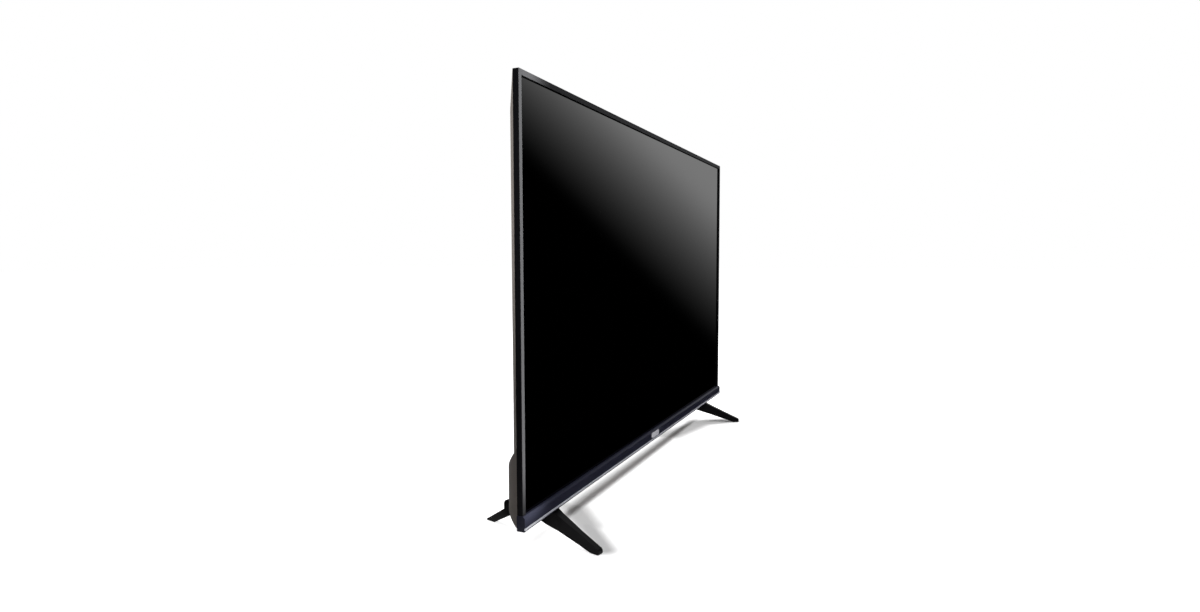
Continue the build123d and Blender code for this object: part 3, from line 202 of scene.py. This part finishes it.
paint(brass, "board_standoffs", "ac_inlet_pins")
paint(can_silver, "power_capacitors")

# %% [markdown]
# ## Boards, flexes and wires
# Circuit boards are green with a slightly uneven mask, flexes are amber film, and the wire bundle is cream.
# Printed tracks would need an image, and two near shades of one colour are enough at this size.

# %% Boards, flexes and wires
board_green = finish("board_green", (0.02, 0.16, 0.07), 0.4)
vary_colour(board_green, 160.0, (0.012, 0.11, 0.045), (0.025, 0.2, 0.085))
flex_amber = finish("flex_amber", (0.42, 0.2, 0.04), 0.35)
vary_colour(flex_amber, 60.0, (0.34, 0.15, 0.03), (0.5, 0.25, 0.06))
wire_cream = finish("wire_cream", (0.6, 0.56, 0.42), 0.5)
vary_colour(wire_cream, 90.0, (0.5, 0.46, 0.34), (0.66, 0.62, 0.48))
ferrite = add_grain(finish("ferrite", (0.09, 0.085, 0.08), 0.7), 400.0, 0.4)
paint(board_green, "timing_board", "main_board", "power_board", "source_boards", "sensor_board", "key_board")
paint(flex_amber, "panel_flexes", "panel_ribbons")
paint(wire_cream, "power_harness")
paint(ferrite, "power_transformers")

# %% [markdown]
# ## Dark plastics and foam
# Sockets, keys and inner mouldings are black plastics that differ only in gloss and grain. The foam and the
# speaker cones are the dullest.

# %% Dark plastics and foam
socket_black = add_grain(finish("socket_black", (0.018, 0.018, 0.019), 0.45), 700.0, 0.15)
inner_black = add_grain(finish("inner_black", (0.025, 0.025, 0.026), 0.6), 500.0, 0.2)
key_black = add_grain(finish("key_black", (0.02, 0.02, 0.021), 0.35), 700.0, 0.1)
window_dark = vary_gloss(finish("window_dark", (0.03, 0.004, 0.006), 0.08), 90.0, 0.06, 0.1)
foam = add_grain(finish("foam", (0.02, 0.02, 0.02), 0.95), 900.0, 0.6)
cone_paper = add_grain(finish("cone_paper", (0.03, 0.03, 0.032), 0.8), 500.0, 0.4)
paint(socket_black, "lan_socket", "av_jack", "optical_socket", "optical_shutter", "ac_inlet")
paint(inner_black, "panel_frame", "speaker_left", "speaker_right", "key_switches")
paint(key_black, "key_power", "key_source", "key_menu", "key_channel", "key_volume_up", "key_volume_down")
paint(window_dark, "sensor_window")
paint(foam, "panel_gasket")
paint(cone_paper, "speaker_cones")

# %% [markdown]
# ## The parts that make and spread the light
# Behind the glass everything is pale, to lose as little light as possible: satin films, a white reflector,
# white light bars and clear lenses over their lamps.

# %% Films, reflector, bars and lenses
film_pale = vary_gloss(finish("film_pale", (0.86, 0.87, 0.9), 0.35), 20.0, 0.3, 0.42)
reflector_white = vary_gloss(finish("reflector_white", (0.9, 0.9, 0.9), 0.6), 20.0, 0.5, 0.65)
bar_white = vary_gloss(finish("bar_white", (0.85, 0.86, 0.84), 0.5), 90.0, 0.4, 0.55)
lens_clear = finish("lens_clear", (0.92, 0.93, 0.95), 0.1, IOR=1.49, Transmission_Weight=0.8)
vary_gloss(lens_clear, 80.0, 0.06, 0.14)
paint(film_pale, "prism_sheet", "diffuser_film", "diffuser_plate")
paint(reflector_white, "reflector_sheet", "diffuser_posts")
paint(bar_white, "led_strips")
paint(lens_clear, "led_lenses")

# %% [markdown]
# ## Helpers for new pieces
# A bmesh holds a shape while operators work on it. When it is done it becomes an object at the origin, which
# then rides on the CAD body that it belongs to.

# %% Mesh helpers
def piece(name, shape, material, body="television"):
    """Turns a finished bmesh into an object that moves with a body."""
    bmesh.ops.recalc_face_normals(shape, faces=shape.faces[:])
    mesh = bpy.data.meshes.new(name)
    shape.to_mesh(mesh)
    shape.free()
    mesh.materials.append(material)
    made = bpy.data.objects.new(name, mesh)
    bpy.context.scene.collection.objects.link(made)
    if body:
        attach(made, body)
    print(name, "faces", len(mesh.polygons))
    return made


def soft_edges(shape, edges, width, steps):
    """Rounds some edges of a bmesh."""
    bmesh.ops.bevel(shape, geom=edges, offset=width, offset_type="OFFSET", segments=steps, profile=0.5,
                    affect="EDGES", material=-1, clamp_overlap=True)


def block_at(shape, centre, size):
    """Adds a box to a bmesh."""
    place = Matrix.Translation(Vector(centre)) @ Matrix.Diagonal((*size, 1.0))
    bmesh.ops.create_cube(shape, size=1.0, matrix=place)

# %% [markdown]
# ## The badge plate
# A small bright plate sits at the middle of the chin. It stays bare. It starts as a box, its corner edges are
# rounded to half circles and its front rim gets a soft bevel. A curve with a thickness would give the same
# outline, but the box needs fewer steps.

# %% Badge plate
badge_length, badge_height, badge_proud = 0.046, 0.0115, 0.0008
badge_left_of_middle = 0.003
badge_above_strip = 0.0015
badge_rim = 0.0003
round_share = 0.49
strip_proud = 0.0009
strip_front_y, strip_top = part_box("chin_strip")[0][1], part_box("chin_strip")[1][2]
badge_y = strip_front_y + strip_proud - badge_proud / 2
badge_middle = (-badge_left_of_middle, badge_y, strip_top + badge_above_strip + badge_height / 2)
badge_silver = finish("badge_silver", (0.72, 0.72, 0.78), 0.35, 0.1)
add_grain(badge_silver, 900.0, 0.08, stretch=brushed_along)
badge = bmesh.new()
block_at(badge, badge_middle, (badge_length, badge_proud, badge_height))
corners = [e for e in badge.edges if abs((e.verts[0].co - e.verts[1].co).y) > badge_proud / 2]
soft_edges(badge, corners, width=badge_height * round_share, steps=8)
front = min(badge.faces, key=lambda face: face.calc_center_median().y)
soft_edges(badge, front.edges[:], width=badge_rim, steps=2)
piece("badge_plate", badge, badge_silver)

# %% [markdown]
# ## Softer edges on the legs
# The legs are sharp edged in the CAD model, and a real casting has small radii that catch the light. The
# edges could be cut again by hand, but a bevel modifier finds them by their angle and leaves the CAD mesh as
# it is. The mesh arrives as loose triangles, so a weld modifier joins them first.

# %% Leg edges
leg_edge_radius = 0.0012
join_distance = 0.00002
sharp_from = math.radians(32.0)
for name in ("leg_left", "leg_right"):
    weld = nodes[name].modifiers.new("join", "WELD")
    weld.merge_threshold = join_distance
    soft = nodes[name].modifiers.new("soft_edge", "BEVEL")
    soft.width = leg_edge_radius
    soft.segments = 2
    soft.limit_method = "ANGLE"
    soft.angle_limit = sharp_from
    soft.harden_normals = True
    print(name, "edges softened by", leg_edge_radius)

# %% [markdown]
# ## Helpers for light that is worked out
# The floor, the backdrop and the reflection card glow by a rule and not by one number. Each rule is a short
# chain of math nodes. A helper takes links and plain numbers alike, so that a chain reads like a formula.

# %% Math node helpers
def feed(tree, socket, value):
    """Puts a link, or a plain number or vector, on a socket."""
    if isinstance(value, bpy.types.NodeSocket):
        tree.links.new(value, socket)
    else:
        socket.default_value = value


def math_step(tree, operation, *values, clamp=False):
    """One math node, fed with its values."""
    made = tree.nodes.new("ShaderNodeMath")
    made.operation = operation
    made.use_clamp = clamp
    for socket, value in zip(made.inputs, values):
        feed(tree, socket, value)
    return made.outputs[0]


def remap(tree, value, from_low, from_high, to_low, to_high, kind="SMOOTHSTEP"):
    """Takes one range to another, eased at both ends unless told otherwise."""
    made = tree.nodes.new("ShaderNodeMapRange")
    made.interpolation_type = kind
    ends = {"Value": value, "From Min": from_low, "From Max": from_high, "To Min": to_low, "To Max": to_high}
    for socket, end in ends.items():
        feed(tree, made.inputs[socket], end)
    return made.outputs["Result"]

# %% [markdown]
# ## A white ground that doesn't light the set
# The photograph has a white ground. Strong light would make a floor white, and would wash out the dark set as
# well. So floor and backdrop get a glow of their own that only the direct view, mirrors and clear glass see.
# Rays that gather soft light see a milder ground.

# %% Rays that see the glow
def seen_directly(tree):
    """One for rays from the camera, a mirror or clear glass, and zero for rays that gather soft light."""
    path = tree.nodes.new("ShaderNodeLightPath")
    seen = math_step(tree, "ADD", path.outputs["Is Camera Ray"], path.outputs["Is Glossy Ray"])
    return math_step(tree, "ADD", seen, path.outputs["Is Transmission Ray"], clamp=True)

# %% [markdown]
# ## How far a point is from a line
# The glow of the floor is to depend on the distance from its shadows, and those follow straight lines. The
# nearest point of a line is its start and a share of its run. The share is held between none and all, so that
# the line has ends.

# %% Distance helpers
def vector_step(tree, operation, *values):
    """One vector node, which gives a number for a length or a dot product."""
    made = tree.nodes.new("ShaderNodeVectorMath")
    made.operation = operation
    for socket, value in zip(made.inputs, values):
        feed(tree, socket, value)
    return made.outputs["Value" if operation in ("LENGTH", "DOT_PRODUCT") else "Vector"]


def distance_to(tree, place, start, end):
    """How far a point is from the line between two points."""
    run = Vector(end) - Vector(start)
    step = vector_step(tree, "SUBTRACT", place, start)
    share = vector_step(tree, "DOT_PRODUCT", step, run / run.length_squared)
    held = math_step(tree, "ADD", share, 0.0, clamp=True)
    nearest = vector_step(tree, "MULTIPLY", held, run)
    return vector_step(tree, "LENGTH", vector_step(tree, "SUBTRACT", step, nearest))

# %% [markdown]
# ## Finish of the floor
# The floor is pale and matt, and it takes the shadows of the lamps. Its own glow would drown them, so the
# glow sinks along a bent line: from the front tip of the left leg to the set, along the dark band under the
# set, and out again to the front tip of the right leg. Where it sinks, the glow paints shade on top of the
# lamps' real shadows. The painted shadow is strongest beside the front arm of each leg, where the glow goes
# down to nothing. A few centimetres away from that line the glow is full, and the floor is white.

# %% Floor finish
floor_white = finish("floor_white", (0.9, 0.9, 0.9), 0.9, Specular_IOR_Level=0.0)
floor_tree = floor_white.node_tree
floor_shader = floor_tree.nodes["Principled BSDF"]
floor_shader.inputs["Emission Color"].default_value = (1.0, 1.0, 1.0, 1.0)
floor_place = floor_tree.nodes.new("ShaderNodeTexCoord").outputs["Object"]
full_glow = 0.9
left_tip, left_bend, left_inner = (-0.445, -0.115, 0.0), (-0.37, -0.05, 0.0), (-0.3, 0.01, 0.0)
band_left, band_right = (-0.31, 0.009, 0.0), (0.25, 0.007, 0.0)
right_inner, right_bend, right_tip = (0.25, 0.01, 0.0), (0.41, -0.024, 0.0), (0.47, -0.09, 0.0)
# each painted shade line: its two ends, the least glow, and the distances at which the glow starts to rise
# and is full
painted_shade_lines = [
    (left_tip, left_bend, 0.0, 0.004, 0.034),
    (left_bend, left_inner, 0.04, 0.006, 0.05),
    (band_left, band_right, 0.12, 0.008, 0.03),
    (right_inner, right_bend, 0.03, 0.012, 0.055),
    (right_bend, right_tip, 0.0, 0.012, 0.045)]
floor_glow = full_glow
# the glow is lowest near each line, which paints shade on the floor there
for start, end, least, near, far in painted_shade_lines:
    away = distance_to(floor_tree, floor_place, start, end)
    rising = remap(floor_tree, away, near, far, least, full_glow)
    floor_glow = math_step(floor_tree, "MINIMUM", rising, floor_glow)
floor_glow = math_step(floor_tree, "MULTIPLY", floor_glow, seen_directly(floor_tree))
feed(floor_tree, floor_shader.inputs["Emission Strength"], floor_glow)
print("floor glow", full_glow, "sinks along", len(painted_shade_lines), "lines")

# %% [markdown]
# ## Floor
# One large square is floor enough, because no picture reaches its edge. It belongs to the studio and not to
# the set.

# %% Floor
floor_reach = 30.0
floor_mesh = bmesh.new()
bmesh.ops.create_grid(floor_mesh, x_segments=1, y_segments=1, size=floor_reach)
floor = piece("studio_floor", floor_mesh, floor_white, body=None)

# %% [markdown]
# ## Backdrop
# The world is the backdrop. It is white where it is seen, and a mild grey where it lights the set, so that
# the dark frame stays dark. A wall behind the set would do as well, but it would need lamps of its own.

# %% Backdrop
room_light = 0.2
world = bpy.data.worlds.new("studio_world")
bpy.context.scene.world = world
world.use_nodes = True
world_tree = world.node_tree
ground = world_tree.nodes["Background"]
ground.inputs["Color"].default_value = (1.0, 1.0, 1.0, 1.0)
world_level = remap(world_tree, seen_directly(world_tree), 0.0, 1.0, room_light, 1.0)
feed(world_tree, ground.inputs["Strength"], world_level)
print("world lights the set with", room_light)

# %% [markdown]
# ## Camera
# The camera stands where the photographer stood. Its place and angles were worked out from the corners of the
# 16 to 9 screen. Its axes are written out from the turn, the tilt and the roll. It comes before the lights,
# because what the glass reflects is laid out from it.

# %% Camera
front_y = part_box("bezel_frame")[0][1]
turn, tilt, roll = math.radians(66.148), math.radians(-3.851), math.radians(-0.134)
look = Vector((math.sin(turn) * math.cos(tilt), math.cos(turn) * math.cos(tilt), math.sin(tilt)))
level_right = Vector((math.cos(turn), -math.sin(turn), 0.0))
level_up = level_right.cross(look)
right = level_right * math.cos(roll) + level_up * math.sin(roll)
up = level_up * math.cos(roll) - level_right * math.sin(roll)
eye = Vector((-1.3921, front_y - 0.4903, 0.4422))
camera_data = bpy.data.cameras.new("camera")
camera_data.sensor_width = 36.0
camera_data.lens = 20.85
camera_data.clip_start = 0.05
camera = bpy.data.objects.new("camera", camera_data)
camera.matrix_world = Matrix((
    (right.x, up.x, -look.x, eye.x),
    (right.y, up.y, -look.y, eye.y),
    (right.z, up.z, -look.z, eye.z),
    (0.0, 0.0, 0.0, 1.0)))
bpy.context.scene.collection.objects.link(camera)
bpy.context.scene.camera = camera
bpy.context.scene.view_settings.view_transform = "Standard"
print("camera at", [round(v, 4) for v in eye])

# %% [markdown]
# ## Studio sheets
# Photographers shape what a glossy thing reflects with cards and flags: sheets that glow, and black sheets.
# Here a sheet is a plane that the camera doesn't see and that throws no shadow. Reflections see it, and soft
# light too where it is asked for.

# %% Sheet helper
flat = Matrix()
upright = Matrix.Rotation(math.pi / 2, 4, "X")
sideways = Matrix.Rotation(math.pi / 2, 4, "Y")


def sheet(name, material, turned, centre, size, soft_light=False):
    """A flat stage piece that faces its own Z."""
    mesh = bmesh.new()
    place = Matrix.Translation(centre) @ turned @ Matrix.Diagonal((*size, 1.0, 1.0))
    bmesh.ops.create_grid(mesh, x_segments=1, y_segments=1, size=0.5, matrix=place)
    made = piece(name, mesh, material, body=None)
    if made.data.polygons[0].normal.dot(turned.to_3x3() @ Vector((0.0, 0.0, 1.0))) < 0:
        made.data.flip_normals()
    made.visible_camera = False
    made.visible_diffuse = soft_light
    made.visible_shadow = False
    made.visible_transmission = False
    made.visible_volume_scatter = False

# %% [markdown]
# ## What the glass reflects
# In the photograph the glass is black below and pale at the upper right, and it fades straight across the
# picture's diagonal. Painting this on the glass would be wrong from every other side. So a card stands before
# the glass and glows more towards one corner. The photographer's mirror image in the glass gives the
# direction of the fade, as a place that is fixed in the room.

# %% Direction of the fade
glass_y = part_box("lcd_cell")[0][1]
mirrored = Vector((1.0, -1.0, 1.0))
mirror_eye = Vector((eye.x, 2 * glass_y - eye.y, eye.z))
card_glow = bpy.data.materials.new("card_glow")
card_glow.use_nodes = True
card_tree = card_glow.node_tree
card_tree.nodes.clear()
card_place = card_tree.nodes.new("ShaderNodeTexCoord").outputs["Object"]
from_eye = vector_step(card_tree, "SUBTRACT", card_place, mirror_eye)
diagonal = vector_step(card_tree, "DOT_PRODUCT", from_eye, (right + up) * mirrored)
depth = vector_step(card_tree, "DOT_PRODUCT", from_eye, look * mirrored)
fade_slope = math_step(card_tree, "DIVIDE", diagonal, depth)
print("fade runs from", [round(v, 4) for v in mirror_eye])

# %% [markdown]
# ## How bright the card is
# The fade is even in the steps of a screen and not in amounts of light, so it rises straight, is held at both
# ends by soft corners, and goes through the usual screen curve. Grazing glass reflects more, so the glow is
# divided by the share that the glass gives back, which grows along the card.

# %% Glow of the card
fade_per_slope, fade_start = 2.215, -0.2254
fade_top, top_corner, bottom_corner = 0.462, 0.09, 0.04
screen_scale, screen_offset, screen_power = 0.948, 0.052, 2.4
black_level = 0.0008
near_x, far_x, near_share, far_share = -0.041, 1.568, 0.093, 0.266
card_level = math_step(card_tree, "MULTIPLY_ADD", fade_slope, fade_per_slope, fade_start)
card_level = math_step(card_tree, "SMOOTH_MIN", card_level, fade_top, top_corner)
card_level = math_step(card_tree, "SMOOTH_MAX", card_level, 0.0, bottom_corner)
card_level = math_step(card_tree, "MULTIPLY_ADD", card_level, screen_scale, screen_offset)
card_level = math_step(card_tree, "POWER", card_level, screen_power)
card_level = math_step(card_tree, "SUBTRACT", card_level, black_level)
along_x = vector_step(card_tree, "DOT_PRODUCT", card_place, (1.0, 0.0, 0.0))
given_back = remap(card_tree, along_x, near_x, far_x, near_share, far_share, "LINEAR")
glow = card_tree.nodes.new("ShaderNodeEmission")
card_out = card_tree.nodes.new("ShaderNodeOutputMaterial")
feed(card_tree, glow.inputs["Strength"], math_step(card_tree, "DIVIDE", card_level, given_back))
feed(card_tree, card_out.inputs["Surface"], glow.outputs[0])
card_before_frame = 0.2631
sheet("reflection_card", card_glow, upright, centre=(1.9, front_y - card_before_frame, 1.0), size=(6.4, 2.0))

# %% [markdown]
# ## Dark flags
# Black sheets on the floor and at the left keep the white ground out of the side walls and the back cover, as
# a photographer's flags do. They are black on the side that they face and clear from the other, so that they
# take light from the set alone.

# %% Flag finish
flag_black = bpy.data.materials.new("flag_black")
flag_black.use_nodes = True
flag_tree = flag_black.node_tree
flag_tree.nodes.clear()
facing = flag_tree.nodes.new("ShaderNodeNewGeometry")
dark = flag_tree.nodes.new("ShaderNodeBsdfDiffuse")
dark.inputs["Color"].default_value = (0.0, 0.0, 0.0, 1.0)
clear = flag_tree.nodes.new("ShaderNodeBsdfTransparent")
either = flag_tree.nodes.new("ShaderNodeMixShader")
flag_out = flag_tree.nodes.new("ShaderNodeOutputMaterial")
for socket, value in zip(either.inputs, (facing.outputs["Backfacing"], dark.outputs[0], clear.outputs[0])):
    feed(flag_tree, socket, value)
feed(flag_tree, flag_out.inputs["Surface"], either.outputs[0])
print("flag finish ready")

# %% [markdown]
# ## Where the flags are
# One lies before the set, one at its left and behind it, one stands far to the left, and a low one stands
# close to the left side of the back cover, which is darkest at its foot. The two on the floor lie at slightly
# different heights, so that they never share a plane with it or with each other.

# %% Flags
front_flag_z, left_flag_z = 0.0006, 0.0007
sheet("floor_flag_front", flag_black, flat, centre=(2.28, front_y - 2.52, front_flag_z), size=(5.46, 5.0))
sheet("floor_flag_left", flag_black, flat, centre=(-2.3, 1.73, left_flag_z), size=(3.7, 3.4), soft_light=True)
sheet("side_flag", flag_black, sideways, centre=(-2.4, 1.0, 1.5), size=(3.0, 7.0), soft_light=True)
sheet("low_flag", flag_black, sideways, centre=(-0.65, 0.37, 0.09), size=(0.18, 0.7), soft_light=True)

# %% [markdown]
# ## Lamps overhead
# Two long soft lamps hang overhead, one before the set and one behind. Each lights the floor under the set
# from its own side, and the narrow band that neither reaches is the shadow that the photograph shows. Both
# run along the set, because a lamp that is turned from it would blur the band.

# %% Lamps overhead
def lamp(name, kind, place, aim, power, **values):
    """A lamp at a place, turned towards a point, and not seen itself."""
    data = bpy.data.lights.new(name, kind)
    data.energy = power
    for key, value in values.items():
        setattr(data, key, value)
    made = bpy.data.objects.new(name, data)
    made.location = place
    made.rotation_euler = (Vector(aim) - Vector(place)).to_track_quat("-Z", "Y").to_euler()
    made.visible_camera = False
    made.visible_glossy = False
    bpy.context.scene.collection.objects.link(made)
    print(name, "power", power)


overhead, lamp_width, lamp_power = 2.3, 0.4, 45.0
back_lamp_x = 0.45
lamp("front_lamp", "AREA", place=(0.0, -1.44, overhead), aim=(0.0, 0.0, 0.0), power=lamp_power,
     shape="RECTANGLE", size=3.2, size_y=lamp_width)
lamp("back_lamp", "AREA", place=(back_lamp_x, 1.4, overhead), aim=(back_lamp_x, 0.02, 0.0), power=lamp_power,
     shape="RECTANGLE", size=2.6, size_y=lamp_width)

# %% [markdown]
# ## Small lamps
# A strip lamp with a narrow spread makes the bright line on the left upright of the frame. It stands to the
# right of it, so that the bevel beside the line stays dark. A spot close to the floor, behind the set, lights
# the slope of the back cover, and its edge is so soft that the cover gets darker downwards.

# %% Small lamps
upright_x, upright_z = -0.545, 0.425
lamp("edge_lamp", "AREA", place=(-0.35, front_y - 0.2, upright_z), aim=(upright_x, front_y, upright_z),
     power=4.0, shape="RECTANGLE", size=0.04, size_y=0.64, spread=math.radians(24.0), color=(1.0, 1.0, 0.86))
lamp("slope_lamp", "SPOT", place=(-1.2, 1.0, 0.1), aim=(-0.54, 0.0, 0.75), power=60.0,
     spot_size=math.radians(44.0), spot_blend=1.0)
